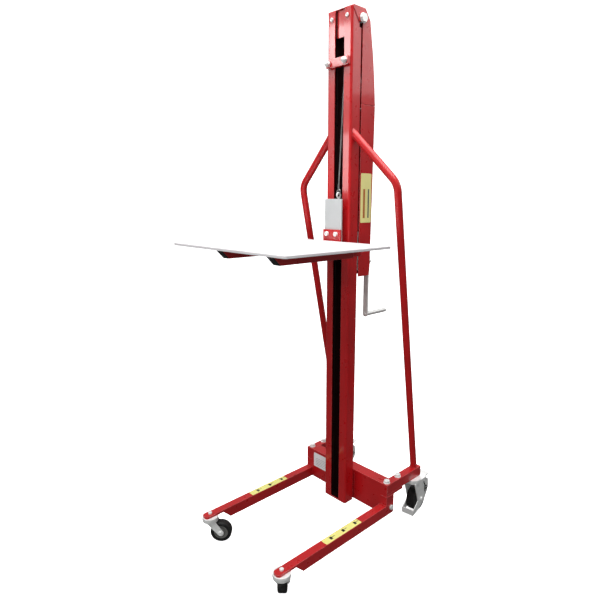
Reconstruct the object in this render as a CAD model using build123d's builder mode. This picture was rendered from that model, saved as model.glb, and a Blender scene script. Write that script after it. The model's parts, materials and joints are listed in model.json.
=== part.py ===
from build123d import *

import os
from math import atan2, cos, pi, radians, sin, sqrt, tan

# Hand-winch platform lift: mast, carriage with a tray on two forks, winch, legs and casters.
# Millimetres, +Z up, +X to the right of the mast seen from the tray, the tray towards -Y.
# The floor is Z = 0 and X = 0 is the plane of symmetry.

os.makedirs("parts", exist_ok=True)

# ---- driving dimensions -------------------------------------------------------------------
mast_y = 75.6  # front face of the mast, which puts the whole lift's middle at Y = 0
mast_width = 108.0
mast_depth = 48.0
mast_wall = 4.0
mast_radius = 7.0
mast_slot = 42.0
mast_bottom = 65.0
mast_top = 1785.0

tube_width = 30.0
tube_height = 38.0
tube_wall = 3.0
base_half = 212.0  # outer faces of the legs and the rear arms
leg_front = -392.0
leg_rear = 95.0
tab_front = -458.0
tab_thickness = 8.0
arm_top = 186.0
arm_rear = 262.0
web_front = 54.0
web_thickness = 4.0
arm_plate_rear = 148.0
arm_plate_thickness = 10.0

tray_width = 556.0
tray_front = -474.0
tray_rear = -52.0
tray_top = 1061.0
tray_sheet = 1.5
tray_lip = 9.0
tray_corner = 11.0
fork_outer = 139.0
fork_width = 28.0
fork_bottom = 1014.0
fork_top = tray_top - tray_sheet - 0.1
fork_front = -418.0
fork_rear = -69.0
crossbar_rear = -29.0
crossbar_top = 1048.0
crossbar_bottom = 1018.0
bracket_half = 41.0
bracket_top = 1097.0
plate_half = 39.0
plate_top = 1199.0
plate_bottom = 1005.0
plate_rear = -18.0
plate_thickness = 5.0
slider_bottom = 1020.0
slider_top = 1190.0

cover_side = 56.0  # outer faces of the two covers
cover_wall = 1.8
cover_split = 1503.0
cover_bottom = 933.0
cover_top = 1787.0

sheave_z = 1757.0
sheave_y = 48.0
rope_radius = 2.5
drum_bend = 22.0  # rope centre line on the drum
sheave_bend = 14.0  # and on the sheave
rope_eye_y = 4.0
rope_eye_z = 1247.0

drum_x = -4.0
crank_x = 18.0
crank_z = 980.0
gear_module = 2.0
gear_teeth = 42
pinion_teeth = 12
crank_radius = 200.0
arm_plane = 134.0
running = 0.05  # radial clearance of every running fit

handle_radius = 12.5
handle_wall = 2.0

front_caster_y = -433.0
rear_caster_y = 226.0
caster_x = base_half - tube_width / 2
rear_caster_x = 202.0


# ---- drawing helpers ----------------------------------------------------------------------
def write(part, name):
    """Label a finished piece and write it as one STEP file."""
    part.label = name
    export_step(part, f"parts/{name}.step")


def block(x, y, z, mode=Mode.ADD):
    """Box between pairs of limits; y is counted from the mast's front face."""
    middle = ((x[0] + x[1]) / 2, mast_y + (y[0] + y[1]) / 2)
    with BuildSketch(Plane.XY.offset(z[0])) as shape:
        with Locations(middle):
            Rectangle(x[1] - x[0], y[1] - y[0])
    extrude(shape.sketch, amount=z[1] - z[0], mode=mode)


def rod_x(y, z, radius, x, mode=Mode.ADD):
    """Round bar along X between the limits x."""
    with BuildSketch(Plane.YZ.offset(x[0])) as shape:
        with Locations((mast_y + y, z)):
            Circle(radius)
    extrude(shape.sketch, amount=x[1] - x[0], mode=mode)


def rod_y(x, z, radius, y, mode=Mode.ADD):
    """Round bar along Y between the limits y."""
    with BuildSketch(Plane.XZ.offset(-(mast_y + y[0]))) as shape:
        with Locations((x, z)):
            Circle(radius)
    extrude(shape.sketch, amount=y[0] - y[1], mode=mode)


def rod_z(x, y, radius, z, mode=Mode.ADD):
    """Round bar along Z between the limits z."""
    with BuildSketch(Plane.XY.offset(z[0])) as shape:
        with Locations((x, mast_y + y)):
            Circle(radius)
    extrude(shape.sketch, amount=z[1] - z[0], mode=mode)


def side_profile(points, x, mode=Mode.ADD):
    """Outline of (y, z) points, drawn in the side view and extruded between the limits x."""
    with BuildSketch(Plane.YZ.offset(x[0])) as shape:
        with BuildLine():
            Polyline(*[(mast_y + y, z) for y, z in points], close=True)
        make_face()
    extrude(shape.sketch, amount=x[1] - x[0], mode=mode)


# ---- mast ---------------------------------------------------------------------------------
bolt_spread = 33.5  # small bolts in the mast's lips
bolt_z = 1760.0
bolt_head = 5.0
bolt_hole = 3.3
tie_spread = 37.0
tie_z = (1614.0, 1640.0)
tie_middle = sum(tie_z) / 2
tie_front = -13.0
notch_y = 34.0
notch_drop = 29.0

with BuildPart() as mast:
    with BuildSketch(Plane.XY.offset(mast_bottom)):
        with Locations((0, mast_y + mast_depth / 2)):
            RectangleRounded(mast_width, mast_depth, mast_radius)
            RectangleRounded(
                mast_width - 2 * mast_wall,
                mast_depth - 2 * mast_wall,
                mast_radius - mast_wall,
                mode=Mode.SUBTRACT,
            )
        with Locations((0, mast_y + mast_wall / 2)):
            Rectangle(mast_slot, mast_wall + 2, mode=Mode.SUBTRACT)
    extrude(amount=mast_top - mast_bottom)
    # closed foot
    with BuildSketch(Plane.XY.offset(mast_bottom)):
        with Locations((0, mast_y + mast_depth / 2)):
            RectangleRounded(mast_width, mast_depth, mast_radius)
    extrude(amount=mast_wall)
    # open back at the top, where the sheave reaches through
    notch_z = (sheave_z - notch_drop, mast_top + 1)
    block((-mast_width, mast_width), (notch_y, mast_depth + 1), notch_z, Mode.SUBTRACT)
    for side in (-1, 1):
        rod_y(side * bolt_spread, bolt_z, bolt_hole, (-1, mast_wall + 1), Mode.SUBTRACT)
        rod_y(side * tie_spread, tie_middle, 5.3, (-1, mast_wall + 1), Mode.SUBTRACT)
write(mast.part, "mast")

# ---- recessed plate behind the lips, ahead of the sheave ------------------------------------
bracket_bottom_z = 1704.0
bracket_flange = (mast_wall + 0.1, mast_wall + 3.1)
bracket_back = (9.0, 12.0)

with BuildPart() as sheave_guard:
    height = (bracket_bottom_z, mast_top - 1)
    recess = mast_slot / 2 - 0.5
    block((-recess, recess), bracket_back, height)
    for side in (-1, 1):
        inner, outer = sorted((side * (recess - 3), side * recess))
        block((inner, outer), (bracket_flange[0], bracket_back[1]), height)
        inner, outer = sorted((side * (recess - 3), side * 46))
        block((inner, outer), bracket_flange, height)
        rod_y(side * bolt_spread, bolt_z, 3.2, (0, 12), Mode.SUBTRACT)
write(sheave_guard.part, "sheave_guard")

with BuildPart() as guard_bolts:
    for side in (-1, 1):
        rod_y(side * bolt_spread, bolt_z, 6, (-5, 0))
        rod_y(side * bolt_spread, bolt_z, 3, (-1, 11))
    heads = guard_bolts.edges().filter_by(GeomType.CIRCLE).group_by(Axis.Y)[0]
    fillet(heads, 1.8)
    for side in (-1, 1):
        with BuildSketch(Plane.XZ.offset(-(mast_y - 5))):
            with Locations((side * bolt_spread, bolt_z)):
                RegularPolygon(2.5, 6, major_radius=False)
        extrude(amount=-2.5, mode=Mode.SUBTRACT)
write(guard_bolts.part, "guard_bolts")

# ---- tie bar across the lips, which also stops the carriage --------------------------------
with BuildPart() as tie_bar:
    block((-48, 48), (tie_front, 0), tie_z)
    fillet(tie_bar.edges().filter_by(Axis.Y), 3)
    for side in (-1, 1):
        rod_y(side * tie_spread, tie_middle, 5.2, (tie_front - 1, 1), Mode.SUBTRACT)
write(tie_bar.part, "tie_bar")

nut_height = 8.0
with BuildPart() as tie_nuts:
    for side in (-1, 1):
        with BuildSketch(Plane.XZ.offset(-(mast_y + tie_front))):
            with Locations((side * tie_spread, tie_middle)):
                RegularPolygon(8.5, 6, major_radius=False)
        extrude(amount=nut_height)
        with Locations((side * tie_spread, mast_y + tie_front - nut_height, tie_middle)):
            Sphere(8)
        rod_y(side * tie_spread, tie_middle, 5, (tie_front - 2, 10))
write(tie_nuts.part, "tie_nuts")

# ---- covers behind the mast ----------------------------------------------------------------
cover_front = mast_depth + 0.6
upper_side = [
    (5, cover_top),
    (60, cover_top),
    (84, 1756),
    (93, 1703),
    (101, 1657),
    (110, 1585),
    (117, cover_split + 0.5),
    (cover_front, cover_split + 0.5),
    (cover_front, 1744),
    (30, 1744),
    (5, 1778),
]
upper_inside = [
    (-5, cover_top - cover_wall),
    (59, cover_top - cover_wall),
    (82.3, 1755),
    (91.2, 1702.6),
    (99.2, 1656.6),
    (108.2, 1584.7),
    (115.2, cover_split - 5),
    (-5, cover_split - 5),
]
with BuildPart() as cover_upper:
    side_profile(upper_side, (-cover_side, cover_side))
    side_profile(upper_inside, (cover_wall - cover_side, cover_side - cover_wall), Mode.SUBTRACT)
    rod_x(sheave_y, sheave_z, 8.3, (-cover_side - 1, cover_side + 1), Mode.SUBTRACT)
write(cover_upper.part, "cover_upper")

lower_side = [
    (cover_front, cover_split - 0.5),
    (117, cover_split - 0.5),
    (109.5, 960),
    (106.5, cover_bottom),
    (cover_front, cover_bottom),
]
lower_inside = [
    (cover_front - 5, cover_split + 5),
    (117 - cover_wall, cover_split + 5),
    (109.5 - cover_wall, 960.2),
    (106.5 - cover_wall, cover_bottom - 3),
    (cover_front - 5, cover_bottom - 3),
]
with BuildPart() as cover_lower:
    side_profile(lower_side, (-cover_side, cover_side))
    side_profile(lower_inside, (cover_wall - cover_side, cover_side - cover_wall), Mode.SUBTRACT)
    fillet(cover_lower.edges().filter_by(Axis.X).sort_by(Axis.Y)[-1], 0.5)
    rod_y(crank_x, crank_z, 11, (100, 125), Mode.SUBTRACT)
write(cover_lower.part, "cover_lower")

# ---- sheave at the top and its axle ---------------------------------------------------------
sheave_radius = 18.5
sheave_half = 7.0
axle_radius = 8.0
collar_radius = 12.0
axle_head = 6.0

with BuildPart() as sheave_axle:
    rod_x(sheave_y, sheave_z, axle_radius, (-67, 60))
    for side in (-1, 1):
        collar = sorted((side * (sheave_half + 0.15), side * (cover_side - cover_wall - 0.1)))
        rod_x(sheave_y, sheave_z, collar_radius, collar)
    with BuildSketch(Plane.YZ.offset(58.7)):
        with Locations((mast_y + sheave_y, sheave_z)):
            RegularPolygon(12, 6, major_radius=False)
    extrude(amount=axle_head)
write(sheave_axle.part, "sheave_axle")

with BuildPart() as axle_washers:
    for side in (-1, 1):
        washer = sorted((side * (cover_side + 0.1), side * 58.6))
        rod_x(sheave_y, sheave_z, 15, washer)
        rod_x(sheave_y, sheave_z, axle_radius + 0.3, washer, Mode.SUBTRACT)
write(axle_washers.part, "axle_washers")

with BuildPart() as axle_nut:
    with BuildSketch(Plane.YZ.offset(-58.7)):
        with Locations((mast_y + sheave_y, sheave_z)):
            RegularPolygon(12, 6, major_radius=False)
            Circle(axle_radius + 0.02, mode=Mode.SUBTRACT)
    extrude(amount=-axle_head)
write(axle_nut.part, "axle_nut")

with BuildPart() as sheave:
    with BuildSketch(Plane.XZ.offset(-(mast_y + sheave_y))):
        with Locations((0, sheave_z + (sheave_radius + axle_radius + running) / 2)):
            Rectangle(2 * sheave_half, sheave_radius - axle_radius - running)
        with Locations((0, sheave_z + sheave_bend)):
            Circle(rope_radius + 0.3, mode=Mode.SUBTRACT)
        with Locations((0, sheave_z + sheave_bend + 3)):
            Rectangle(2 * rope_radius + 0.6, 6, mode=Mode.SUBTRACT)
    revolve(axis=Axis((0, mast_y + sheave_y, sheave_z), (1, 0, 0)))
write(sheave.part, "sheave")

# ---- winch: frame, drum with its gear, crank shaft, ratchet and pawl -------------------------
gear_centre = gear_module * (gear_teeth + pinion_teeth) / 2
drum_z = crank_z + sqrt(gear_centre**2 - (crank_x - drum_x) ** 2)
frame_front = (mast_depth, mast_depth + 3)
frame_rear = (94.0, 97.0)
frame_z = (955.0, 1087.0)
ratchet_y = (99.0, 104.0)
pawl_x = -22.0
pawl_z = 1008.0

with BuildPart() as winch_frame:
    for plate in (frame_front, frame_rear):
        block((-50, 50), plate, frame_z)
    block((-50, 50), (frame_front[0], frame_rear[1]), (frame_z[1] - 3, frame_z[1]))
    block((7, 28), (56, 86), (frame_z[1] - 4, frame_z[1] + 1), Mode.SUBTRACT)
    through = (frame_front[0] - 1, frame_rear[1] + 1)
    rod_y(drum_x, drum_z, axle_radius + running, through, Mode.SUBTRACT)
    rod_y(crank_x, crank_z, axle_radius + running, through, Mode.SUBTRACT)
    rod_y(pawl_x, pawl_z, 3, (frame_rear[0], ratchet_y[1] + 0.8))
write(winch_frame.part, "winch_frame")

core_radius = drum_bend - rope_radius - 0.1
with BuildPart() as drum:
    rod_y(drum_x, drum_z, axle_radius, (mast_depth + 0.3, 98))
    rod_y(drum_x, drum_z, 38, (53, 56))
    rod_y(drum_x, drum_z, core_radius, (55, 81))
    rod_y(drum_x, drum_z, 38, (80, 83))
write(drum.part, "drum")

# four turns of rope side by side on the drum
turns = 4
turn_pitch = 2 * rope_radius - 0.1
with BuildPart() as rope_coil:
    with BuildSketch(Plane.YZ.offset(drum_x)):
        for turn in range(turns):
            along = 68 + (turn - (turns - 1) / 2) * turn_pitch
            with Locations((mast_y + along, drum_z + drum_bend)):
                Circle(rope_radius)
    revolve(axis=Axis((drum_x, mast_y, drum_z), (0, 1, 0)))
write(rope_coil.part, "rope_coil")


def gear_outline(teeth, addendum, backlash, phase):
    """Points round a spur gear with 20 degree involute flanks; phase turns the first tooth."""
    pressure = radians(20)
    pitch = gear_module * teeth / 2
    base = pitch * cos(pressure)
    root = pitch - 1.25 * gear_module
    tip = pitch + addendum
    half_tooth = pi / 2 / teeth - backlash / 2 / pitch
    spread = tan(pressure) - pressure

    def half_angle(radius):
        roll = sqrt(max(radius**2 / base**2 - 1, 0))
        return half_tooth + spread - (roll - atan2(roll, 1))

    start = max(base, root)
    steps = 5
    radii = [start + (tip - start) * step / steps for step in range(steps + 1)]
    points = []
    for tooth in range(teeth):
        middle = phase + 2 * pi * tooth / teeth
        rising = [(root, -half_angle(start))] if root < start else []
        rising += [(radius, -half_angle(radius)) for radius in radii]
        for radius, angle in rising + [(r, -a) for r, a in reversed(rising)]:
            points.append((radius * cos(middle + angle), radius * sin(middle + angle)))
    return points


def gear_solid(x, z, points, bore, y):
    """Spur gear about a shaft along Y, with its bore."""
    with BuildSketch(Plane.XZ.offset(-(mast_y + y[0]))) as shape:
        with Locations((x, z)):
            with BuildLine(mode=Mode.PRIVATE) as outline:
                Polyline(*points, close=True)
            add(make_face(outline.edges(), mode=Mode.PRIVATE))
            Circle(bore, mode=Mode.SUBTRACT)
    extrude(shape.sketch, amount=y[0] - y[1])


# the line of centres, from the drum down to the crank shaft
mesh_angle = atan2(crank_z - drum_z, crank_x - drum_x)
backlash = 0.3

with BuildPart() as drum_gear:
    gear_points = gear_outline(gear_teeth, 1.5, backlash, mesh_angle)
    gear_solid(drum_x, drum_z, gear_points, axle_radius + 0.02, (83, 91))
write(drum_gear.part, "drum_gear")

with BuildPart() as crank_shaft:
    gap_phase = mesh_angle + pi + pi / pinion_teeth
    pinion_points = gear_outline(pinion_teeth, 1.9, backlash, gap_phase)
    gear_solid(crank_x, crank_z, pinion_points, 5, (82, 92))
    rod_y(crank_x, crank_z, axle_radius, (mast_depth + 0.3, 141))
write(crank_shaft.part, "crank_shaft")

ratchet_teeth = 12
ratchet_tip = 22.0
with BuildPart() as ratchet_wheel:
    with BuildSketch(Plane.XZ.offset(-(mast_y + ratchet_y[0]))):
        with Locations((crank_x, crank_z)):
            Circle(ratchet_tip)
            Circle(axle_radius + 0.02, mode=Mode.SUBTRACT)
        for tooth in range(ratchet_teeth):
            angle = 2 * pi * tooth / ratchet_teeth
            tip_point = (crank_x + 25 * cos(angle), crank_z + 25 * sin(angle))
            root_point = (crank_x + 17.5 * cos(angle), crank_z + 17.5 * sin(angle))
            run_out = angle + 2 * pi / ratchet_teeth * 0.9
            run_point = (crank_x + 23 * cos(run_out), crank_z + 23 * sin(run_out))
            with BuildLine(mode=Mode.PRIVATE) as notch:
                Polyline(tip_point, root_point, run_point, close=True)
            add(make_face(notch.edges(), mode=Mode.PRIVATE), mode=Mode.SUBTRACT)
    extrude(amount=ratchet_y[0] - ratchet_y[1])
write(ratchet_wheel.part, "ratchet_wheel")

pawl_points = [(pawl_x, pawl_z - 4.5), (4, 1000.4), (8.8, 1001.2), (7, 1006), (pawl_x, pawl_z + 4.5)]
with BuildPart() as pawl:
    with BuildSketch(Plane.XZ.offset(-(mast_y + ratchet_y[0]))):
        with BuildLine():
            Polyline(*pawl_points, close=True)
        make_face()
        with Locations((pawl_x, pawl_z)):
            Circle(6)
            Circle(3 + running, mode=Mode.SUBTRACT)
    extrude(amount=ratchet_y[0] - ratchet_y[1])
write(pawl.part, "pawl")

# ---- crank -----------------------------------------------------------------------------------
crank_thickness = 6.0
grip_z = crank_z - crank_radius
grip_y = (arm_plane + crank_thickness + 1.2, 250.0)
with BuildPart() as crank_arm:
    with BuildSketch(Plane.XZ.offset(-(mast_y + arm_plane))):
        with Locations((crank_x, (crank_z + grip_z) / 2)):
            SlotCenterToCenter(crank_radius, 20, rotation=90)
        with Locations((crank_x, crank_z)):
            Circle(13)
            Circle(axle_radius + 0.02, mode=Mode.SUBTRACT)
    extrude(amount=-crank_thickness)
    rod_y(crank_x, grip_z, 4, (arm_plane - 2.5, arm_plane))
    rod_y(crank_x, grip_z, 5, (arm_plane, grip_y[1] + 3))
    rod_y(crank_x, grip_z, 7.2, (grip_y[1] + 0.4, grip_y[1] + 3.4))
write(crank_arm.part, "crank_arm")

with BuildPart() as crank_nut:
    with BuildSketch(Plane.XZ.offset(-(mast_y + arm_plane + crank_thickness))):
        with Locations((crank_x, crank_z)):
            RegularPolygon(12, 6, major_radius=False)
            Circle(axle_radius + 0.02, mode=Mode.SUBTRACT)
    extrude(amount=-8)
write(crank_nut.part, "crank_nut")

with BuildPart() as crank_grip:
    rod_y(crank_x, grip_z, 8, grip_y)
    rod_y(crank_x, grip_z, 5 + running, grip_y, Mode.SUBTRACT)
    rims = crank_grip.edges().filter_by(GeomType.CIRCLE).filter_by(lambda edge: edge.radius > 7)
    fillet(rims, 1.2)
write(crank_grip.part, "crank_grip")

# ---- rope --------------------------------------------------------------------------------------
rear_run_y = sheave_y + sheave_bend
front_run_y = sheave_y - sheave_bend
with BuildPart() as rope_rear:
    with BuildLine() as route:
        FilletPolyline(
            (drum_x + drum_bend, mast_y + 68, drum_z + 17),
            (0, mast_y + rear_run_y, 1700),
            (0, mast_y + rear_run_y, sheave_z),
            radius=1000,
        )
        ThreePointArc(
            (0, mast_y + rear_run_y, sheave_z),
            (0, mast_y + sheave_y, sheave_z + sheave_bend),
            (0, mast_y + front_run_y, sheave_z),
        )
    with BuildSketch(Plane(origin=route.wire() @ 0, z_dir=route.wire() % 0)):
        Circle(rope_radius)
    sweep()
write(rope_rear.part, "rope_rear")

with BuildPart() as rope_front:
    with BuildSketch(Plane.XY.offset(rope_eye_z)):
        with Locations((0, mast_y + rope_eye_y)):
            Circle(rope_radius)
    with BuildSketch(Plane.XY.offset(sheave_z)):
        with Locations((0, mast_y + front_run_y)):
            Circle(rope_radius)
    loft()
write(rope_front.part, "rope_front")

# ---- carriage ------------------------------------------------------------------------------------
eye_centre = 1211.5
loop_centre = 1222.0
with BuildPart() as carriage_slider:
    block((-40, 40), (19, 29), (slider_bottom, slider_top))
    block((-15, 15), (plate_rear, 20), (slider_bottom + 10, slider_top))
    rod_z(0, rope_eye_y, 4.1, (slider_top - 12, slider_top + 1), Mode.SUBTRACT)
write(carriage_slider.part, "carriage_slider")

pad_gap = 0.5
pad_height = 30.0
with BuildPart() as slide_pads:
    for side in (-1, 1):
        pad_x = sorted((side * 40, side * (mast_width / 2 - mast_wall - pad_gap)))
        pad_y = (mast_wall + pad_gap, mast_depth - mast_wall - pad_gap)
        for low in (slider_bottom, slider_top - pad_height):
            block(pad_x, pad_y, (low, low + pad_height))
    fillet(slide_pads.edges().filter_by(Axis.Z), 2.6)
write(slide_pads.part, "slide_pads")

with BuildPart() as carriage_plate:
    block((-plate_half, plate_half), (plate_rear - plate_thickness, plate_rear), (plate_bottom, plate_top))
    fillet(carriage_plate.edges().filter_by(Axis.Y), 2)
    for side in (-1, 1):
        rod_y(side * 21, 1082, 5.2, (plate_rear - 6, plate_rear + 1), Mode.SUBTRACT)
write(carriage_plate.part, "carriage_plate")

bracket_y = (crossbar_rear, plate_rear - plate_thickness)
with BuildPart() as fork_bracket:
    block((-bracket_half, bracket_half), bracket_y, (crossbar_bottom, bracket_top))
    block((-fork_outer, fork_outer), (fork_rear, crossbar_rear), (crossbar_bottom, crossbar_top))
    inner_x = fork_outer - tube_wall
    inner_y = (fork_rear + tube_wall, crossbar_rear - tube_wall)
    block((-inner_x, inner_x), inner_y, (crossbar_bottom - 1, crossbar_top - tube_wall), Mode.SUBTRACT)
    for side in (-1, 1):
        rod_y(side * 21, 1082, 5.2, (-35, -20), Mode.SUBTRACT)
write(fork_bracket.part, "fork_bracket")

with BuildPart() as fork_bolts:
    for side in (-1, 1):
        rod_y(side * 21, 1082, 8, (crossbar_rear - 7, crossbar_rear))
        rod_y(side * 21, 1082, 5, (crossbar_rear - 1, plate_rear + 0.1))
    heads = fork_bolts.edges().filter_by(GeomType.CIRCLE).group_by(Axis.Y)[0]
    fillet(heads, 1.5)
    for side in (-1, 1):
        with BuildSketch(Plane.XZ.offset(-(mast_y + crossbar_rear - 7))):
            with Locations((side * 21, 1082)):
                RegularPolygon(4, 6, major_radius=False)
        extrude(amount=-4, mode=Mode.SUBTRACT)
write(fork_bolts.part, "fork_bolts")

fork_height = fork_top - fork_bottom
fork_side = [
    (fork_front, fork_top),
    (fork_rear, fork_top),
    (fork_rear, fork_bottom),
    (fork_front + fork_height, fork_bottom),
]
plug_lip = 3.5
plug_side = [
    (fork_front, fork_top),
    (fork_front + fork_height, fork_bottom),
    (fork_front + fork_height - plug_lip, fork_bottom),
    (fork_front - plug_lip, fork_top),
]
inner_top = fork_top - tube_wall - 0.2
inner_bottom = fork_bottom + tube_wall + 0.2
plug_core = [
    (fork_front + tube_wall, inner_top),
    (fork_front + tube_wall + 22, inner_top),
    (fork_front + fork_height + 14, inner_bottom),
    (fork_front + fork_height - tube_wall - 0.4, inner_bottom),
]
for name, side in (("left", -1), ("right", 1)):
    with BuildPart() as fork:
        side_profile(fork_side, sorted((side * fork_outer, side * (fork_outer - fork_width))))
        block(
            sorted((side * (fork_outer - tube_wall), side * (fork_outer - fork_width + tube_wall))),
            (fork_front - 30, fork_rear + 1),
            (fork_bottom + tube_wall, fork_top - tube_wall),
            Mode.SUBTRACT,
        )
    write(fork.part, f"fork_{name}")

with BuildPart() as fork_plugs:
    for side in (-1, 1):
        side_profile(plug_side, sorted((side * fork_outer, side * (fork_outer - fork_width))))
        core_outer = fork_outer - tube_wall - 0.2
        core_inner = fork_outer - fork_width + tube_wall + 0.2
        side_profile(plug_core, sorted((side * core_outer, side * core_inner)))
write(fork_plugs.part, "fork_plugs")

with BuildPart() as tray:
    middle = (0, mast_y + (tray_front + tray_rear) / 2)
    with BuildSketch(Plane.XY.offset(tray_top - tray_lip)):
        with Locations(middle):
            RectangleRounded(tray_width, tray_rear - tray_front, tray_corner)
    extrude(amount=tray_lip)
    fillet(tray.faces().sort_by(Axis.Z)[-1].edges(), 3)
    with BuildSketch(Plane.XY.offset(tray_top - tray_lip)):
        with Locations(middle):
            RectangleRounded(
                tray_width - 2 * tray_sheet,
                tray_rear - tray_front - 2 * tray_sheet,
                tray_corner - tray_sheet,
            )
    extrude(amount=tray_lip - tray_sheet, mode=Mode.SUBTRACT)
write(tray.part, "tray")

# eye bolt on the slider, and the loop with its ferrule at the rope's end
with BuildPart() as eye_bolt:
    with BuildSketch(Plane.XY.offset(eye_centre)):
        with Locations((0, mast_y + rope_eye_y + 8)):
            Circle(3)
    revolve(axis=Axis((0, mast_y + rope_eye_y, eye_centre), (1, 0, 0)))
    rod_z(0, rope_eye_y, 4, (slider_top - 10, eye_centre - 7))
    block((-6, 6), (rope_eye_y - 6, rope_eye_y + 6), (slider_top, slider_top + 4))
write(eye_bolt.part, "eye_bolt")

with BuildPart() as rope_loop:
    with BuildSketch(Plane.XY.offset(loop_centre)):
        with Locations((8, mast_y + rope_eye_y)):
            Circle(2)
    revolve(axis=Axis((0, mast_y + rope_eye_y, loop_centre), (0, 1, 0)))
    rod_z(0, rope_eye_y, 3.6, (loop_centre + 7, rope_eye_z))
write(rope_loop.part, "rope_loop")

# ---- base ------------------------------------------------------------------------------------------
arm_bottom = arm_top - tube_height
leg_top = mast_bottom + tube_height
inner_half = base_half - tube_width
arm_bolt_y = (70.0, 134.0)
leg_bolt = (80.0, 90.0)

with BuildPart() as cross_member:
    block((-inner_half, inner_half), (web_front, web_front + web_thickness), (mast_bottom, arm_top))
    block((-inner_half, inner_half), (web_front, 100), (arm_top - web_thickness, arm_top))
    block((-45, 45), (mast_depth, web_front), (mast_bottom + 5, arm_top - 6))
    for side in (-1, 1):
        post_x = sorted((side * inner_half, side * base_half))
        block(post_x, (web_front, leg_rear), (leg_top, arm_bottom - arm_plate_thickness))
        block(post_x, (web_front, arm_plate_rear), (arm_bottom - arm_plate_thickness, arm_bottom))
        block(post_x, (web_front, web_front + web_thickness), (arm_bottom, arm_top))
        post_core = sorted((side * (inner_half + tube_wall), side * (base_half - tube_wall)))
        block(
            post_core,
            (web_front + tube_wall, leg_rear - tube_wall),
            (leg_top - 1, arm_bottom - arm_plate_thickness),
            Mode.SUBTRACT,
        )
        plate_z = (arm_bottom - arm_plate_thickness - 1, arm_bottom + 1)
        for bolt_y in arm_bolt_y:
            rod_z(side * caster_x, bolt_y, 6.1, plate_z, Mode.SUBTRACT)
write(cross_member.part, "cross_member")

tab_corner = 12.0
for name, side in (("left", -1), ("right", 1)):
    tube_x = sorted((side * inner_half, side * base_half))
    core_x = sorted((side * (inner_half + tube_wall), side * (base_half - tube_wall)))

    with BuildPart() as rear_arm:
        block(tube_x, (web_front + web_thickness, arm_rear), (arm_bottom, arm_top))
        edges = rear_arm.edges().filter_by(Axis.X).group_by(Axis.Y)[-1]
        chamfer(edges.sort_by(Axis.Z)[0], 5)
        block(
            core_x,
            (web_front + web_thickness - 1, arm_rear - tube_wall),
            (arm_bottom + tube_wall, arm_top - tube_wall),
            Mode.SUBTRACT,
        )
        for bolt_y in arm_bolt_y:
            rod_z(side * caster_x, bolt_y, 6.2, (arm_bottom - 1, arm_top + 1), Mode.SUBTRACT)
        stem_x = side * rear_caster_x
        rod_z(stem_x, rear_caster_y, 5.2, (arm_bottom - 1, arm_bottom + tube_wall + 1), Mode.SUBTRACT)
    write(rear_arm.part, f"rear_arm_{name}")

    leg_side = [
        (leg_front, leg_top),
        (leg_rear, leg_top),
        (leg_rear, mast_bottom),
        (leg_front + tube_height - 3, mast_bottom),
        (leg_front, leg_top - 3),
    ]
    with BuildPart() as leg:
        side_profile(leg_side, tube_x)
        block(
            core_x,
            (leg_front + tube_height + 6, leg_rear + 1),
            (mast_bottom + tube_wall, leg_top - tube_wall),
            Mode.SUBTRACT,
        )
        block(tube_x, (tab_front, leg_front + 20), (leg_top - tab_thickness, leg_top))
        corners = leg.edges().filter_by(Axis.Z).group_by(Axis.Y)[0]
        fillet(corners, tab_corner)
        rod_z(side * caster_x, front_caster_y, 5.2, (leg_top - tab_thickness - 1, leg_top + 1), Mode.SUBTRACT)
        hole_x = sorted((side * (base_half - tube_wall - 1), side * (base_half + 1)))
        rod_x(*leg_bolt, 5.2, hole_x, Mode.SUBTRACT)
    write(leg.part, f"leg_{name}")

with BuildPart() as arm_bolts:
    for side in (-1, 1):
        for bolt_y in arm_bolt_y:
            rod_z(side * caster_x, bolt_y, 5.9, (arm_bottom - arm_plate_thickness, arm_top + 4))
            with BuildSketch(Plane.XY.offset(arm_top + 2.6)):
                with Locations((side * caster_x, mast_y + bolt_y)):
                    RegularPolygon(9.5, 6, major_radius=False)
            extrude(amount=7.5)
write(arm_bolts.part, "arm_bolts")

with BuildPart() as arm_washers:
    for side in (-1, 1):
        for bolt_y in arm_bolt_y:
            rod_z(side * caster_x, bolt_y, 12, (arm_top, arm_top + 2.5))
            rod_z(side * caster_x, bolt_y, 6.3, (arm_top - 1, arm_top + 3), Mode.SUBTRACT)
write(arm_washers.part, "arm_washers")

with BuildPart() as leg_bolts:
    for side in (-1, 1):
        rod_x(*leg_bolt, 5, sorted((side * (base_half - 12), side * (base_half + 1))))
        rod_x(*leg_bolt, 9, sorted((side * base_half, side * (base_half + 6))))
    for end in (0, -1):
        fillet(leg_bolts.edges().filter_by(GeomType.CIRCLE).group_by(Axis.X)[end], 1.5)
write(leg_bolts.part, "leg_bolts")

# ---- push handles -----------------------------------------------------------------------------------
handle_top = (mast_width / 2, 20.0, 1406.0)
handle_bend = (220.0, 40.0, 1245.0)
handle_foot = (caster_x - 2, 238.0, arm_top)
handle_turn = 60.0

for name, side in (("left", -1), ("right", 1)):
    points = [Vector(side * x, mast_y + y, z) for x, y, z in (handle_top, handle_bend, handle_foot)]
    over_top = points[0] + (points[0] - points[1]).normalized() * 25
    over_foot = points[2] + (points[2] - points[1]).normalized() * 10
    with BuildPart() as handle:
        with BuildLine() as route:
            FilletPolyline(over_top, points[1], over_foot, radius=handle_turn)
        with BuildSketch(Plane(origin=route.wire() @ 0, z_dir=route.wire() % 0)):
            Circle(handle_radius)
            Circle(handle_radius - handle_wall, mode=Mode.SUBTRACT)
        sweep()
        # the upper end is cut to the mast's side and the foot to the top of the rear arm
        block((-mast_width / 2 - 0.1, mast_width / 2 + 0.1), (-60, 100), (1350, 1500), Mode.SUBTRACT)
        block((-300, 300), (100, 350), (arm_top - 60, arm_top), Mode.SUBTRACT)
    write(handle.part, f"handle_{name}")


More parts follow.
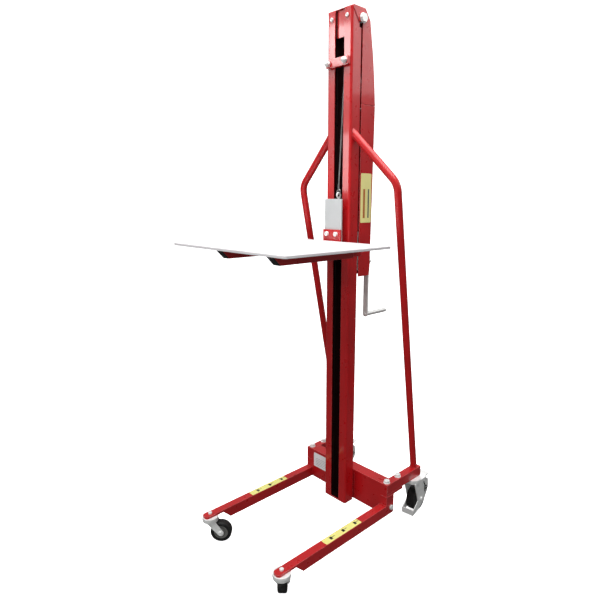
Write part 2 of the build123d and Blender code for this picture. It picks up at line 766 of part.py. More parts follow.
# ---- casters ---------------------------------------------------------------------------------------
def ring_z(plane, radius, z, mode=Mode.ADD):
    """Round disc about a caster's swivel axis between the heights z."""
    with BuildSketch(plane.offset(z[0])) as shape:
        Circle(radius)
    extrude(shape.sketch, amount=z[1] - z[0], mode=mode)


def wheel_profile(plane, trail, wheel_z, sections, bore):
    """Turned solid about a caster's axle from (radius, half width) steps, with its bore."""
    axle = Plane(
        origin=plane.from_local_coords((trail, 0, wheel_z)),
        x_dir=plane.y_dir,
        z_dir=plane.x_dir,
    )
    with BuildSketch(axle) as shape:
        for inner, outer, half in sections:
            with Locations((0, (inner + outer) / 2)):
                Rectangle(2 * half, outer - inner)
    revolve(shape.sketch, axis=Axis(axle.origin, plane.y_dir))
    return axle


def caster(name, plane, size):
    """Fork, hub and tyre of one swivel caster; local X is the side the wheel trails to."""
    trail, radius, half, top = size["trail"], size["radius"], size["half"], size["top"]
    axle_r, crown_r = size["axle"], size["crown"]
    leg_in = half + 2.5
    leg_out = leg_in + size["leg"]

    with BuildPart() as fork_part:
        ring_z(plane, crown_r, (top - 16, top - 9.3))
        ring_z(plane, crown_r - 3.5, (top - 9.4, top - 5.4))
        for side in (-1, 1):
            start = side * leg_in
            cheek = Plane(origin=plane.from_local_coords((0, start, 0)), x_dir=plane.x_dir, z_dir=-plane.y_dir)
            with BuildSketch(cheek) as shape:
                for outline in size["cheeks"]:
                    with BuildLine(mode=Mode.PRIVATE) as edge:
                        Polyline(*outline, close=True)
                    add(make_face(edge.edges(), mode=Mode.PRIVATE))
                with Locations((trail, radius)):
                    Circle(size["boss"])
            extrude(shape.sketch, amount=-side * size["leg"])
        pin = Plane(
            origin=plane.from_local_coords((trail, leg_out + 4, radius)),
            x_dir=plane.x_dir,
            z_dir=-plane.y_dir,
        )
        with BuildSketch(pin) as shape:
            Circle(axle_r)
        extrude(shape.sketch, amount=2 * leg_out + 8)
        for start in (0, 2 * leg_out + 4):
            with BuildSketch(pin.offset(start)) as shape:
                Circle(axle_r + 3.5)
            extrude(shape.sketch, amount=4)
        ring_z(plane, 5.3, (top - 17, top - 5), Mode.SUBTRACT)
        if size["guard"]:
            guard_in, guard_out, low, high = size["guard"]
            with BuildSketch(plane.offset(low)) as shape:
                with Locations((-(guard_in + guard_out) / 2, 0)):
                    Rectangle(guard_out - guard_in, 2 * leg_out)
            extrude(shape.sketch, amount=high - low)
            hinge = Plane(
                origin=plane.from_local_coords((size["pedal"][0], leg_out, size["pedal"][1])),
                x_dir=plane.x_dir,
                z_dir=-plane.y_dir,
            )
            with BuildSketch(hinge) as shape:
                Circle(3)
            extrude(shape.sketch, amount=2 * leg_out)
    write(fork_part.part, f"{name}_fork")

    hub_r = size["hub"]
    with BuildPart() as hub_part:
        bore = axle_r + running
        sections = [(bore, 11, half + 1.8), (bore, hub_r, half - 6), (hub_r - 5, hub_r, half - 2)]
        wheel_profile(plane, trail, radius, sections, bore)
    write(hub_part.part, f"{name}_hub")

    with BuildPart() as tyre_part:
        wheel_profile(plane, trail, radius, [(hub_r + 0.1, radius, half)], axle_r)
        rims = tyre_part.edges().filter_by(GeomType.CIRCLE)
        fillet(rims.filter_by(lambda edge: edge.radius > radius - 1), size["round"])
    write(tyre_part.part, f"{name}_tyre")


front_size = {
    "trail": 38.0,
    "radius": 37.5,
    "half": 15.0,
    "top": 95.0,
    "axle": 4.0,
    "crown": 28.0,
    "leg": 2.5,
    "boss": 11.0,
    "hub": 25.0,
    "round": 6.0,
    "guard": None,
    "cheeks": [[(-14, 81), (20, 81), (48, 42), (30, 30)]],
}
rear_size = {
    "trail": 34.0,
    "radius": 48.0,
    "half": 19.0,
    "top": arm_bottom,
    "axle": 5.0,
    "crown": 29.0,
    "leg": 3.0,
    "boss": 13.0,
    "hub": 32.0,
    "round": 6.0,
    "guard": (26.0, 30.0, 4.0, 25.0),
    "pedal": (50.0, 117.0),
    "cheeks": [
        [(-24, 134), (30, 134), (62, 130), (84, 114), (88, 88), (84, 66), (58, 34), (20, 14)],
        [(20, 14), (-30, 4), (-30, 25), (-6, 40), (12, 56), (16, 62), (58, 34)],
        [(-24, 134), (20, 14), (16, 62), (4, 84), (-16, 118)],
    ],
}
front_headings = {"front_left": 46.0, "front_right": 136.0}
rear_headings = {"rear_left": 84.0, "rear_right": 97.0}


def heading_plane(x, y, degrees):
    """Plane on the floor under a swivel axis, with its X along the trailing direction."""
    return Plane(
        origin=(x, mast_y + y, 0),
        x_dir=(cos(radians(degrees)), sin(radians(degrees)), 0),
        z_dir=(0, 0, 1),
    )


front_planes = {
    name: heading_plane(caster_x * (1 if name.endswith("right") else -1), front_caster_y, angle)
    for name, angle in front_headings.items()
}
rear_planes = {
    name: heading_plane(rear_caster_x * (1 if name.endswith("right") else -1), rear_caster_y, angle)
    for name, angle in rear_headings.items()
}
pedal_side = [(42, 120), (50, 126), (94, 136.5), (95, 133), (57, 122), (56, 110), (45, 110)]
for name, plane in front_planes.items():
    caster(name, plane, front_size)
for name, plane in rear_planes.items():
    caster(name, plane, rear_size)
    with BuildPart() as pedal:
        pivot_x, pivot_z = rear_size["pedal"]
        reach = rear_size["half"] + 1.9
        cheek = Plane(
            origin=plane.from_local_coords((0, reach, 0)), x_dir=plane.x_dir, z_dir=-plane.y_dir
        )
        with BuildSketch(cheek):
            with BuildLine():
                Polyline(*pedal_side, close=True)
            make_face()
            with Locations((pivot_x, pivot_z)):
                Circle(3 + running, mode=Mode.SUBTRACT)
        extrude(amount=2 * reach)
    write(pedal.part, f"{name}_pedal")


def race_set(planes, top, radius):
    """Fixed upper races under the two carriers of one caster pair."""
    for plane in planes:
        ring_z(plane, radius, (top - 9, top))
    for plane in planes:
        ring_z(plane, radius - 3, (top - 9.1, top - 5), Mode.SUBTRACT)
        ring_z(plane, 5.1, (top - 10, top + 1), Mode.SUBTRACT)


def stem_set(planes, top, head):
    """Stem bolts of one caster pair, riveted under the crowns."""
    for plane in planes:
        ring_z(plane, 5, (top - 20, top + head[0] + 1))
        ring_z(plane, 9, (top - 21, top - 16.3))
        ring_z(plane, 6.5, (top + head[0], top + head[1]))


with BuildPart() as caster_races:
    race_set(front_planes.values(), front_size["top"], 29)
    race_set(rear_planes.values(), rear_size["top"], 30)
write(caster_races.part, "caster_races")

with BuildPart() as caster_stems:
    stem_set(front_planes.values(), front_size["top"], (tab_thickness, tab_thickness + 5))
    stem_set(rear_planes.values(), rear_size["top"], (tube_wall + 0.05, 9))
write(caster_stems.part, "caster_stems")
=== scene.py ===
import json
import math
import random

import bmesh
import bpy
from mathutils import Matrix, Vector


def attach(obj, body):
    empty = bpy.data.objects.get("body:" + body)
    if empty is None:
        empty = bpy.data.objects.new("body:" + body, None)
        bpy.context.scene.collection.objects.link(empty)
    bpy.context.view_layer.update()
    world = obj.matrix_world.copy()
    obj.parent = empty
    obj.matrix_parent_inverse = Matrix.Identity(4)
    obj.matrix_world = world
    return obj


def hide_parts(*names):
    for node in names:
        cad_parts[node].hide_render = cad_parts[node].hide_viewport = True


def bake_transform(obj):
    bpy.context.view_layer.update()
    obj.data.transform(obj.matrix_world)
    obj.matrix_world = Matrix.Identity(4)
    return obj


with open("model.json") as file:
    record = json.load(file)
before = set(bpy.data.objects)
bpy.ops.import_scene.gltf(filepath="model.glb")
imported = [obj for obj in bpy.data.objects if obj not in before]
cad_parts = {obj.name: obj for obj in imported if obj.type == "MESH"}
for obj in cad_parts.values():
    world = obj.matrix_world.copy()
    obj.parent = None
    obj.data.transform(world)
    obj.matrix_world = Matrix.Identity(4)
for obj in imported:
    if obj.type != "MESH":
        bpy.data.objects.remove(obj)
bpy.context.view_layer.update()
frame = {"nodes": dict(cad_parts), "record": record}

# Looks for the hand-winch platform lift: metres, +Z up, tray towards -Y, mast slot facing -Y.

random.seed(7)
scene = bpy.context.scene
MM = 0.001
MAST_Y = 75.6 * MM  # the mast's front face
CAMERA_YAW = 45.81  # degrees; the studio wall stands square to it


def at(x, y, z):
    """Point in millimetres, with y counted from the mast's front face."""
    return Vector((x * MM, MAST_Y + y * MM, z * MM))


# ---- camera ---------------------------------------------------------------------------------
def make_camera():
    data = bpy.data.cameras.new("camera")
    data.sensor_width = 36
    data.lens = 30.51
    data.shift_x = -0.0308
    data.shift_y = 0.0219
    camera = bpy.data.objects.new("camera", data)
    scene.collection.objects.link(camera)
    yaw, pitch, roll = (math.radians(angle) for angle in (CAMERA_YAW, 12.44, 0.2))
    turn = Matrix.Rotation(yaw, 4, "Z") @ Matrix.Rotation(math.pi / 2 - pitch, 4, "X")
    place = Matrix.Translation(at(1228.3, -1284.0, 1192.0))
    camera.matrix_world = place @ turn @ Matrix.Rotation(roll, 4, "Z")
    scene.camera = camera


make_camera()


# ---- shader building ------------------------------------------------------------------------
class Shader:
    """A material with its Principled node and short helpers for procedural detail."""

    def __init__(self, name):
        self.material = bpy.data.materials.new(name)
        self.material.use_nodes = True
        self.tree = self.material.node_tree
        self.surface = self.tree.nodes["Principled BSDF"]
        self.place = self.tree.nodes.new("ShaderNodeTexCoord").outputs["Object"]

    def node(self, kind, **values):
        made = self.tree.nodes.new("ShaderNode" + kind)
        for name, value in values.items():
            if name in made.inputs:
                made.inputs[name].default_value = value
            else:
                setattr(made, name, value)
        return made

    def link(self, source, target):
        self.tree.links.new(source, target)
        return target

    def set(self, **values):
        for name, value in values.items():
            self.surface.inputs[name.replace("_", " ")].default_value = value

    def stretched(self, x, y, z):
        mapping = self.node("Mapping")
        mapping.inputs["Scale"].default_value = (x, y, z)
        self.link(self.place, mapping.inputs["Vector"])
        return mapping.outputs["Vector"]

    def noise(self, scale, detail=3.0, rough=0.5, vector=None):
        made = self.node("TexNoise", Scale=scale, Detail=detail, Roughness=rough)
        self.link(vector or self.place, made.inputs["Vector"])
        return made.outputs["Fac"]

    def ramp(self, source, low, high, start=0.0, end=1.0):
        made = self.node("MapRange")
        self.link(source, made.inputs["Value"])
        for name, value in (("From Min", low), ("From Max", high), ("To Min", start), ("To Max", end)):
            made.inputs[name].default_value = value
        return made.outputs["Result"]

    def math(self, operation, a, b):
        made = self.node("Math", operation=operation)
        for socket, value in zip(made.inputs, (a, b)):
            if isinstance(value, (int, float)):
                socket.default_value = value
            else:
                self.link(value, socket)
        return made.outputs[0]

    def mix(self, factor, a, b):
        made = self.node("Mix", data_type="RGBA")
        self.link(factor, made.inputs["Factor"])
        for socket, value in ((made.inputs[6], a), (made.inputs[7], b)):
            if isinstance(value, tuple):
                socket.default_value = (*value, 1.0)
            else:
                self.link(value, socket)
        return made.outputs[2]

    def colour(self, value):
        self.link(value, self.surface.inputs["Base Color"])

    def roughness(self, value):
        self.link(value, self.surface.inputs["Roughness"])

    def bump(self, height, distance, strength=1.0, normal=None):
        made = self.node("Bump", Strength=strength, Distance=distance)
        self.link(height, made.inputs["Height"])
        if normal is not None:
            self.link(normal, made.inputs["Normal"])
        return made.outputs["Normal"]

    def normal(self, value):
        self.link(value, self.surface.inputs["Normal"])

    def edges(self, radius, low=0.9, high=0.995):
        """Rounded-edge normal, and a mask that is 1 on edges and 0 on flat faces."""
        bevel = self.node("Bevel", samples=6, Radius=radius)
        flat = self.node("NewGeometry").outputs["Normal"]
        dot = self.node("VectorMath", operation="DOT_PRODUCT")
        self.link(bevel.outputs["Normal"], dot.inputs[0])
        self.link(flat, dot.inputs[1])
        return bevel.outputs["Normal"], self.ramp(dot.outputs["Value"], high, low)


def inside(s, low, high):
    """1 between two corners of the object's own space and 0 outside, for a colour mask."""
    split = s.node("SeparateXYZ")
    s.link(s.place, split.inputs[0])
    mask = None
    for axis, start, end in zip("XYZ", low, high):
        above = s.math("GREATER_THAN", split.outputs[axis], start)
        below = s.math("LESS_THAN", split.outputs[axis], end)
        part = s.math("MULTIPLY", above, below)
        mask = part if mask is None else s.math("MULTIPLY", mask, part)
    return mask


# near-black painted shade, for hollows and side walls that lie in shadow
PAINTED_SHADE_COLOUR = (0.022, 0.006, 0.006)


def paint(name, base, deep, edge, gloss=0.3, peel=0.00006, edge_radius=0.0016, shaded=None, coat=0.5):
    """Glossy powder coat: slight mottling, orange peel, and lighter edges, partly thinner paint and partly a
    painted highlight.

    shaded is a box, as two corners, inside which the colour is near-black painted shade.
    """
    s = Shader(name)
    rounded, mask = s.edges(edge_radius)
    mottle = s.ramp(s.noise(9.0, 4.0), 0.35, 0.65)
    colour = s.mix(mottle, deep, base)
    # lighter edges: partly thinner paint, partly a painted highlight on the rounded edges
    thin_coat_and_painted_highlight = s.math("MULTIPLY", mask, s.ramp(s.noise(140.0, 5.0, 0.6), 0.38, 0.6, 0.35, 0.9))
    coat_with_painted_light = s.mix(thin_coat_and_painted_highlight, colour, edge)
    # near-black painted shade inside the shaded box
    if shaded is not None:
        coat_with_painted_light = s.mix(inside(s, *shaded), coat_with_painted_light, PAINTED_SHADE_COLOUR)
    s.colour(coat_with_painted_light)
    s.roughness(s.ramp(s.noise(35.0, 6.0, 0.6), 0.3, 0.7, gloss - 0.05, gloss + 0.08))
    s.set(Coat_Weight=coat, Coat_Roughness=0.07, Coat_IOR=1.5, Specular_IOR_Level=0.35)
    peel_normal = s.bump(s.noise(650.0, 2.0), peel, 0.5, rounded)
    s.normal(s.bump(s.noise(14.0, 2.0), 0.0006, 0.12, peel_normal))
    return s.material


def metal(name, base, stain, rough, grain=(400.0, 400.0, 20.0), radius=0.0008, metallic=1.0):
    """Plated or turned steel: directional grain, cloudy patches and brighter edges, partly wear and partly a
    painted highlight.
    """
    s = Shader(name)
    rounded, mask = s.edges(radius)
    cloud = s.ramp(s.noise(40.0, 5.0, 0.6), 0.35, 0.7)
    # brighter edges: partly wear, partly a painted highlight
    bright = tuple(min(1.0, channel * 1.2) for channel in base)
    s.colour(s.mix(mask, s.mix(cloud, base, stain), bright))
    lines = s.noise(1.0, 3.0, 0.6, s.stretched(*grain))
    s.roughness(s.ramp(lines, 0.3, 0.7, rough - 0.08, rough + 0.12))
    s.set(Metallic=metallic)
    s.normal(s.bump(lines, 0.00005, 0.4, rounded))
    return s.material


def plastic(name, base, lift, rough):
    """Moulded plastic with a fine spark texture, and lighter edges, partly wear and partly a painted
    highlight.
    """
    s = Shader(name)
    rounded, mask = s.edges(0.0010)
    # lighter edges: partly wear, partly a painted highlight
    s.colour(s.mix(s.math("MULTIPLY", mask, 0.6), base, lift))
    s.roughness(s.ramp(s.noise(90.0, 4.0), 0.3, 0.7, rough - 0.08, rough + 0.1))
    s.set(Specular_IOR_Level=0.4)
    s.normal(s.bump(s.noise(1500.0, 2.0), 0.00005, 0.5, rounded))
    return s.material


def rubber(name):
    """Black tyre rubber with dust in the scuffs."""
    s = Shader(name)
    rounded, mask = s.edges(0.0015)
    scuff = s.ramp(s.noise(60.0, 8.0, 0.7), 0.5, 0.75)
    s.colour(s.mix(scuff, (0.012, 0.012, 0.012), (0.05, 0.05, 0.048)))
    s.roughness(s.ramp(s.noise(120.0, 4.0), 0.3, 0.7, 0.45, 0.7))
    s.set(Specular_IOR_Level=0.3)
    s.normal(s.bump(s.noise(900.0, 3.0), 0.00008, 0.6, rounded))
    return s.material


RED_BASE = (0.52, 0.008, 0.011)
RED_DEEP = (0.44, 0.006, 0.008)
RED_EDGE = (0.85, 0.26, 0.26)
# the mast's channel inside is painted near-black as shade
CHANNEL_SHADE_BOX = (tuple(at(-50.3, 3.7, 60)), tuple(at(50.3, 44.3, 1790)))  # the mast's inside
# the guard's left side wall is painted near-black as shade
GUARD_SHADE_BOX = (tuple(at(-20.8, 4.0, 1700)), tuple(at(-17.3, 8.9, 1790)))  # the guard's left edge
RED = paint("red_coat", RED_BASE, RED_DEEP, RED_EDGE)
TUBE_RED = paint("tube_red_coat", RED_BASE, RED_DEEP, RED_EDGE, gloss=0.38, coat=0.2)
# guard coat: red, with painted shade on its left side wall
GUARD_RED = paint("guard_red_coat", RED_BASE, RED_DEEP, RED_EDGE, shaded=GUARD_SHADE_BOX)
# mast coat: red, with painted shade inside the channel
MAST_RED = paint("mast_red_coat", RED_BASE, RED_DEEP, RED_EDGE, shaded=CHANNEL_SHADE_BOX)
WHITE = paint("white_coat", (0.74, 0.72, 0.73), (0.69, 0.66, 0.68), (0.96, 0.96, 0.96), gloss=0.42, coat=0.15)
GREY = paint("grey_coat", (0.50, 0.52, 0.52), (0.46, 0.48, 0.48), (0.7, 0.7, 0.7), gloss=0.35)
ZINC = metal("zinc_plate", (0.93, 0.94, 0.93), (0.78, 0.79, 0.77), 0.4, metallic=0.2)
GRIP = metal("turned_grip", (0.86, 0.86, 0.85), (0.74, 0.74, 0.72), 0.32, (30.0, 900.0, 30.0), metallic=0.4)
STEEL = metal("turned_steel", (0.70, 0.69, 0.67), (0.60, 0.59, 0.57), 0.26, (30.0, 900.0, 30.0))
ROPE = metal("wire_rope_steel", (0.50, 0.50, 0.50), (0.30, 0.29, 0.28), 0.38, (900.0, 900.0, 900.0))
BLACK = plastic("black_moulding", (0.006, 0.006, 0.007), (0.03, 0.03, 0.03), 0.5)
HUB = plastic("grey_moulding", (0.17, 0.17, 0.16), (0.26, 0.26, 0.25), 0.45)
TYRE = rubber("tyre_rubber")


def bead_metal():
    """Painted weld bead: red paint over the ripple, with small spatter marks."""
    s = Shader("weld_bead_coat")
    rounded, mask = s.edges(0.0006)
    s.colour(s.mix(s.ramp(s.noise(300.0, 3.0), 0.4, 0.65), (0.52, 0.012, 0.016), (0.34, 0.008, 0.010)))
    s.roughness(s.ramp(s.noise(220.0, 3.0), 0.3, 0.7, 0.3, 0.5))
    s.set(Coat_Weight=0.4, Coat_Roughness=0.1)
    s.normal(s.bump(s.noise(700.0, 3.0), 0.0002, 0.6, rounded))
    return s.material


def label_film(name, ground, marks):
    """Glossy printed film in a plain ground colour, with sharp-edged box-shaped generic marks."""
    s = Shader(name)
    colour = s.mix(s.ramp(s.noise(25.0, 4.0), 0.35, 0.7), ground, tuple(0.93 * channel for channel in ground))
    for low, high, ink in marks:
        colour = s.mix(inside(s, tuple(low), tuple(high)), colour, ink)
    s.colour(colour)
    s.roughness(s.ramp(s.noise(60.0, 4.0), 0.3, 0.7, 0.3, 0.45))
    s.set(Specular_IOR_Level=0.45)
    s.normal(s.bump(s.noise(90.0, 2.0), 0.0001, 0.3))
    return s.material


BEAD = bead_metal()

BY_SLOT = {
    "red_paint": RED,
    "white_paint": WHITE,
    "grey_paint": GREY,
    "zinc": ZINC,
    "bright_steel": STEEL,
    "black_plastic": BLACK,
    "hub_plastic": HUB,
    "tyre_rubber": TYRE,
    "rope_steel": ROPE,
}


BY_NODE = {
    "mast": MAST_RED,
    "sheave_guard": GUARD_RED,
    "crank_arm": ZINC,
    "crank_grip": GRIP,
    "handle_left": TUBE_RED,
    "handle_right": TUBE_RED,
}


def paint_nodes():
    slots = {part["node"]: part["material_slot"] for part in frame["record"]["subparts"]}
    for name, thing in frame["nodes"].items():
        thing.data.materials.clear()
        thing.data.materials.append(BY_NODE.get(name) or BY_SLOT[slots[name]])


paint_nodes()


# ---- added pieces -----------------------------------------------------------------------------
def piece(name, bm, material, body):
    """Finish a bmesh as a smooth-shaded object that rides on a body."""
    bmesh.ops.recalc_face_normals(bm, faces=bm.faces)
    mesh = bpy.data.meshes.new(name)
    bm.to_mesh(mesh)
    bm.free()
    for face in mesh.polygons:
        face.use_smooth = True
    mesh.materials.append(material)
    thing = bpy.data.objects.new(name, mesh)
    scene.collection.objects.link(thing)
    if body is not None:
        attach(thing, body)
    return thing


def frame_along(points, index, closed):
    """Two directions square to a path at one of its points."""
    count = len(points)
    before = points[(index - 1) % count] if closed or index > 0 else points[index]
    after = points[(index + 1) % count] if closed or index < count - 1 else points[index]
    ahead = (after - before).normalized()
    guide = Vector((0, 0, 1)) if abs(ahead.z) < 0.9 else Vector((1, 0, 0))
    across = ahead.cross(guide).normalized()
    return across, across.cross(ahead).normalized()


def tube(bm, points, radius, sides=10, closed=False):
    """Add a round tube along points; radius is a number or a function of the point's index."""
    size = radius if callable(radius) else (lambda index: radius)
    rings = []
    for index, point in enumerate(points):
        across, over = frame_along(points, index, closed)
        ring = []
        for side in range(sides):
            angle = 2 * math.pi * side / sides
            offset = across * math.cos(angle) + over * math.sin(angle)
            ring.append(bm.verts.new(point + offset * size(index)))
        rings.append(ring)
    spans = len(rings) if closed else len(rings) - 1
    for index in range(spans):
        here, there = rings[index], rings[(index + 1) % len(rings)]
        for side in range(sides):
            after = (side + 1) % sides
            bm.faces.new((here[side], here[after], there[after], there[side]))
    if not closed:
        bm.faces.new(reversed(rings[0]))
        bm.faces.new(rings[-1])


BEAD_SIDES = 8
BEAD_STEP = 0.9 * MM  # between the rings of a straight bead
BEAD_UNEVEN = 0.03


def bead_sizes(count, width, swell, pace):
    """Radii along a bead: overlapping ripples and a little unevenness."""
    sizes = []
    for index in range(count):
        ripple = swell * abs(math.sin(index * pace))
        sizes.append(width * (0.86 + ripple + random.uniform(-BEAD_UNEVEN, BEAD_UNEVEN)))
    return sizes


def bead_line(bm, start, end, width):
    """Weld bead between two points, with tapered ends."""
    length = (end - start).length
    count = max(12, int(length / BEAD_STEP))
    points = [start.lerp(end, index / (count - 1)) for index in range(count)]
    sizes = bead_sizes(count, width, 0.16, 0.55)
    sizes[0] = sizes[-1] = width * 0.35
    tube(bm, points, lambda index: sizes[index], BEAD_SIDES)


def bead_ring(bm, centre, axis_a, axis_b, width):
    """Weld bead all the way round an oval joint."""
    count = 120
    points = []
    for index in range(count):
        angle = 2 * math.pi * index / count
        points.append(centre + axis_a * math.cos(angle) + axis_b * math.sin(angle))
    sizes = bead_sizes(count, width, 0.18, 0.6)
    tube(bm, points, lambda index: sizes[index], BEAD_SIDES, closed=True)


FILM_CORNER = 4 * MM


def film(name, corners, thickness, material, body):
    """Thin rounded sheet through four corners, thickened along its normal."""
    bm = bmesh.new()
    low = [bm.verts.new(corner) for corner in corners]
    face = bm.faces.new(low)
    bm.normal_update()
    lift = face.normal * thickness
    made = bmesh.ops.extrude_face_region(bm, geom=[face])
    moved = [item for item in made["geom"] if isinstance(item, bmesh.types.BMVert)]
    bmesh.ops.translate(bm, verts=moved, vec=lift)
    normal = lift.normalized()
    upright = []
    for edge in bm.edges:
        along = (edge.verts[0].co - edge.verts[1].co).normalized()
        if abs(along.dot(normal)) > 0.99:
            upright.append(edge)
    bmesh.ops.bevel(bm, geom=upright, offset=FILM_CORNER, segments=4, affect="EDGES", profile=0.5)
    thing = piece(name, bm, material, body)
    for polygon in thing.data.polygons:
        polygon.use_smooth = False
    return thing


def add_welds():
    foot = bmesh.new()
    # millimetres, as in at()
    arm_top, handle_foot_x, handle_foot_y = 186, 195, 238
    mast_side, handle_top_y, handle_top_z = 54, 20.5, 1405
    post_front, post_x = 54, (183, 211)
    plate_side, plate_y, plate_heights = 212, (56, 94), (103, 138)
    tab_x, tab_y, tab_z = (184, 210), -392, 95.4
    web_y, web_z = 52.5, (75, 176)
    arm_joint_x, arm_joint_y, arm_joint_z = 182, 60, (150, 180)
    for side in (-1, 1):
        # push handles: foot on the rear arm, top on the mast
        handle_foot = at(side * handle_foot_x, handle_foot_y, arm_top)
        bead_ring(foot, handle_foot, Vector((0.0136, 0, 0)), Vector((0, 0.0142, 0)), 0.0021)
        handle_top = at(side * mast_side, handle_top_y, handle_top_z)
        bead_ring(foot, handle_top, Vector((0, 0.0138, 0)), Vector((0, 0, 0.0185)), 0.0021)
        # posts between the legs and the upper plates
        for z in plate_heights:
            bead_line(foot, at(side * post_x[0], post_front, z), at(side * post_x[1], post_front, z), 0.0017)
        for z in plate_heights:
            front, back = (at(side * plate_side, y, z) for y in plate_y)
            bead_line(foot, front, back, 0.0017)
        # tab on the leg
        bead_line(foot, at(side * tab_x[0], tab_y, tab_z), at(side * tab_x[1], tab_y, tab_z), 0.0018)
        # web to the mast's sides
        bead_line(foot, at(side * mast_side, web_y, web_z[0]), at(side * mast_side, web_y, web_z[1]), 0.0018)
        # web to the rear arms
        low, high = (at(side * arm_joint_x, arm_joint_y, z) for z in arm_joint_z)
        bead_line(foot, low, high, 0.0017)
    piece("base_welds", foot, BEAD, "frame")
    bracket = bmesh.new()
    for side in (-1, 1):
        bead_line(bracket, at(side * 111, -69, 1020), at(side * 111, -69, 1046), 0.0016)
        bead_line(bracket, at(side * 41, -29, 1050), at(side * 41, -29, 1046), 0.0016)
    bead_line(bracket, at(-40, -29.3, 1048.5), at(40, -29.3, 1048.5), 0.0018)
    piece("bracket_welds", bracket, BEAD, "carriage")


def add_rope():
    """Six wires twisted round a core, from the eye up to the sheave."""
    top, bottom = at(0, 34, 1757), at(0, 4, 1247)
    wires, wire_radius, lay_radius = 6, 0.85 * MM, 1.65 * MM
    pitch = 19 * MM
    steps, core_steps = 519, 40
    bm = bmesh.new()
    ahead = (top - bottom).normalized()
    across = Vector((1, 0, 0))
    over = ahead.cross(across).normalized()
    length = (top - bottom).length
    for wire in range(wires):
        points = []
        for index in range(steps + 1):
            along = length * index / steps
            angle = 2 * math.pi * (along / pitch + wire / wires)
            offset = (across * math.cos(angle) + over * math.sin(angle)) * lay_radius
            points.append(bottom + ahead * along + offset)
        tube(bm, points, wire_radius, 6)
    core = [bottom.lerp(top, index / core_steps) for index in range(core_steps + 1)]
    tube(bm, core, 1.1 * MM, 6)
    rope = piece("twisted_rope", bm, ROPE, None)
    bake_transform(rope)
    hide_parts("rope_front")


INK = (0.012, 0.012, 0.012)
OLIVE = (0.30, 0.30, 0.10)
FILM_THICKNESS = 0.3 * MM


def add_leg_films():
    """Yellow film on each leg, with three plain dark patches."""
    leg_top = 103
    front, back = -253, -81
    for side, name in ((-1, "left"), (1, "right")):
        left, right = sorted((side * 183.5, side * 210.5))
        middle = (left + right) / 2
        marks = []
        for y in (-219, -161, -102):
            marks.append((at(middle - 7, y - 5, leg_top - 3), at(middle + 6, y + 5, leg_top + 3), INK))
            marks.append((at(middle - 4, y + 5, leg_top - 3), at(middle - 1, y + 19, leg_top + 3), OLIVE))
        yellow = label_film(f"leg_film_{name}_print", (0.87, 0.83, 0.27), marks)
        outline = ((left, front), (right, front), (right, back), (left, back))
        corners = [at(x, y, leg_top) for x, y in outline]
        film(f"leg_film_{name}", corners, FILM_THICKNESS, yellow, "frame")


def add_cover_film():
    """Yellow film on the lower cover's right side, with two plain bars."""
    marks = [
        (at(50, 66, 1135), at(60, 76, 1232), (0.50, 0.16, 0.04)),
        (at(50, 90, 1135), at(60, 97, 1232), (0.13, 0.16, 0.14)),
    ]
    yellow = label_film("cover_film_print", (0.95, 0.90, 0.36), marks)
    cover_side = 56
    outline = ((53, 1119), (109, 1119), (107, 1284), (53, 1284))
    corners = [at(cover_side, y, z) for y, z in outline]
    film("cover_film", corners, FILM_THICKNESS, yellow, "frame")


def add_web_plate():
    """White plate on the cross member's web, with five plain grey lines."""
    grey = (0.35, 0.36, 0.37)
    line_height = 1.4
    marks = []
    for z in (124, 131, 138, 145, 152):
        marks.append((at(-160, 50, z), at(-84, 56, z + line_height), grey))
    plate = label_film("web_plate_print", (0.93, 0.94, 0.95), marks)
    web_front = 54
    outline = ((-171, 115), (-71, 115), (-71, 175), (-171, 175))
    corners = [at(x, web_front, z) for x, z in outline]
    film("web_plate", corners, 0.9 * MM, plate, "frame")


def add_caster_details():
    """A bent black wire, with a loop, on each rear caster's right-hand cheek."""
    swivel_y, cheek = 226, 25.8 * MM
    main_bends = ((46, 119), (49, 111), (54, 103), (58, 95), (58, 82), (58, 70))
    loop_bends = ((58, 95), (66, 92), (75, 88), (80, 82), (72, 78), (60, 80))
    for name, x, heading in (("rear_left", -202, 84), ("rear_right", 202, 97)):
        turn = math.radians(heading)
        ahead = Vector((math.cos(turn), math.sin(turn), 0))
        right = Vector((math.sin(turn), -math.cos(turn), 0))
        pivot = at(x, swivel_y, 0)

        def on_cheek(along, up):
            return pivot + ahead * along * MM + right * cheek + Vector((0, 0, up * MM))

        bm = bmesh.new()
        tube(bm, [on_cheek(*spot) for spot in main_bends], 2.1 * MM, 8)
        tube(bm, [on_cheek(*spot) for spot in loop_bends], 1.8 * MM, 8)
        piece(f"{name}_black_wire", bm, BLACK, f"{name}_swivel")


add_welds()
add_rope()
add_leg_films()
add_cover_film()
add_web_plate()
add_caster_details()


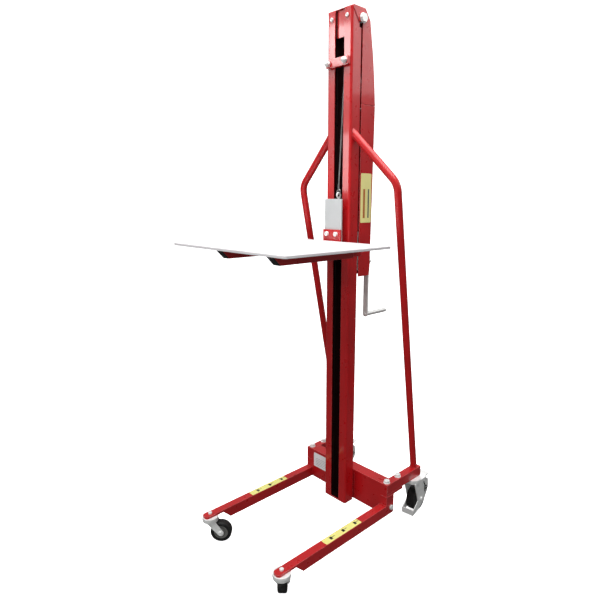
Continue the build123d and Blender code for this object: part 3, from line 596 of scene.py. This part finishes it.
# ---- stage ----------------------------------------------------------------------------------
def make_stage():
    """Pale floor that rolls up into a wall behind the lift."""
    mesh = bpy.data.meshes.new("studio_floor")
    bm = bmesh.new()
    turn = Matrix.Rotation(math.radians(CAMERA_YAW), 4, "Z")
    front, bend_start, bend_radius, wall_top = -6.0, 2.6, 1.2, 6.0
    half_width, drop = 7.0, 0.0005
    profile = [(front, 0.0), (bend_start, 0.0)]
    for step in range(1, 13):
        angle = math.pi / 24 * step
        along = bend_start + bend_radius * math.sin(angle)
        profile.append((along, bend_radius - bend_radius * math.cos(angle)))
    profile.append((bend_start + bend_radius, wall_top))
    rows = []
    for across in (-half_width, half_width):
        rows.append([bm.verts.new(turn @ Vector((across, along, up - drop))) for along, up in profile])
    for here in range(len(profile) - 1):
        there = here + 1
        bm.faces.new((rows[0][here], rows[1][here], rows[1][there], rows[0][there]))
    bm.to_mesh(mesh)
    bm.free()
    for face in mesh.polygons:
        face.use_smooth = True
    floor = bpy.data.objects.new("studio_floor", mesh)
    scene.collection.objects.link(floor)
    s = Shader("studio_floor")
    s.colour(s.mix(s.noise(3.0), (0.90, 0.90, 0.90), (0.92, 0.92, 0.92)))
    s.set(Roughness=0.9, Emission_Strength=0.95)
    s.surface.inputs["Emission Color"].default_value = (1, 1, 1, 1)
    mesh.materials.append(s.material)
    floor.visible_diffuse = False
    floor.visible_glossy = False


def softbox(name, centre, target, size, power, diffuse=True, glossy=True):
    """Rectangular light that faces a target."""
    data = bpy.data.lights.new(name, "AREA")
    data.shape = "RECTANGLE"
    data.size, data.size_y = size
    data.energy = power
    light = bpy.data.objects.new(name, data)
    scene.collection.objects.link(light)
    direction = Vector(target) - Vector(centre)
    facing = direction.to_track_quat("-Z", "Y").to_matrix().to_4x4()
    light.matrix_world = Matrix.Translation(centre) @ facing
    light.visible_diffuse = diffuse
    light.visible_glossy = glossy


def make_world():
    """Soft surround: pale above, darker below the horizon."""
    world = bpy.data.worlds.new("studio")
    scene.world = world
    world.use_nodes = True
    tree = world.node_tree
    back = tree.nodes["Background"]
    place = tree.nodes.new("ShaderNodeTexCoord")
    split = tree.nodes.new("ShaderNodeSeparateXYZ")
    tree.links.new(place.outputs["Generated"], split.inputs[0])
    ramp = tree.nodes.new("ShaderNodeMapRange")
    for name, value in (("From Min", -0.1), ("From Max", 0.5), ("To Min", 0.12), ("To Max", 0.36)):
        ramp.inputs[name].default_value = value
    tree.links.new(split.outputs["Z"], ramp.inputs["Value"])
    tree.links.new(ramp.outputs["Result"], back.inputs["Strength"])
    back.inputs["Color"].default_value = (1, 1, 1, 1)


make_stage()
make_world()
softbox("top_light", (0.2, -0.3, 3.6), (0.1, -0.1, 0.0), (3.0, 3.0), 175)
softbox("front_fill", (2.6, -2.8, 2.0), (0, 0, 0.8), (2.4, 2.4), 34, glossy=False)
softbox("left_fill", (-1.0, -3.2, 1.3), (0, 0, 0.5), (2.0, 2.0), 26, glossy=False)
# cards that only show as reflections in the gloss paint
softbox("high_card", (-2.2, -2.2, 2.55), (0, 0.1, 1.65), (0.9, 0.32), 15, diffuse=False)
softbox("broad_card", (-2.2, -2.25, 2.0), (0, 0.1, 1.5), (0.9, 0.8), 2.2, diffuse=False)
softbox("low_card", (-1.98, -2.2, 1.53), (0, 0.1, 1.35), (0.25, 0.5), 4, diffuse=False)
softbox("right_rear_card", (2.2, 2.2, 2.9), (0, 0.1, 1.6), (2.4, 1.6), 26, diffuse=False)

scene.view_settings.view_transform = "Standard"
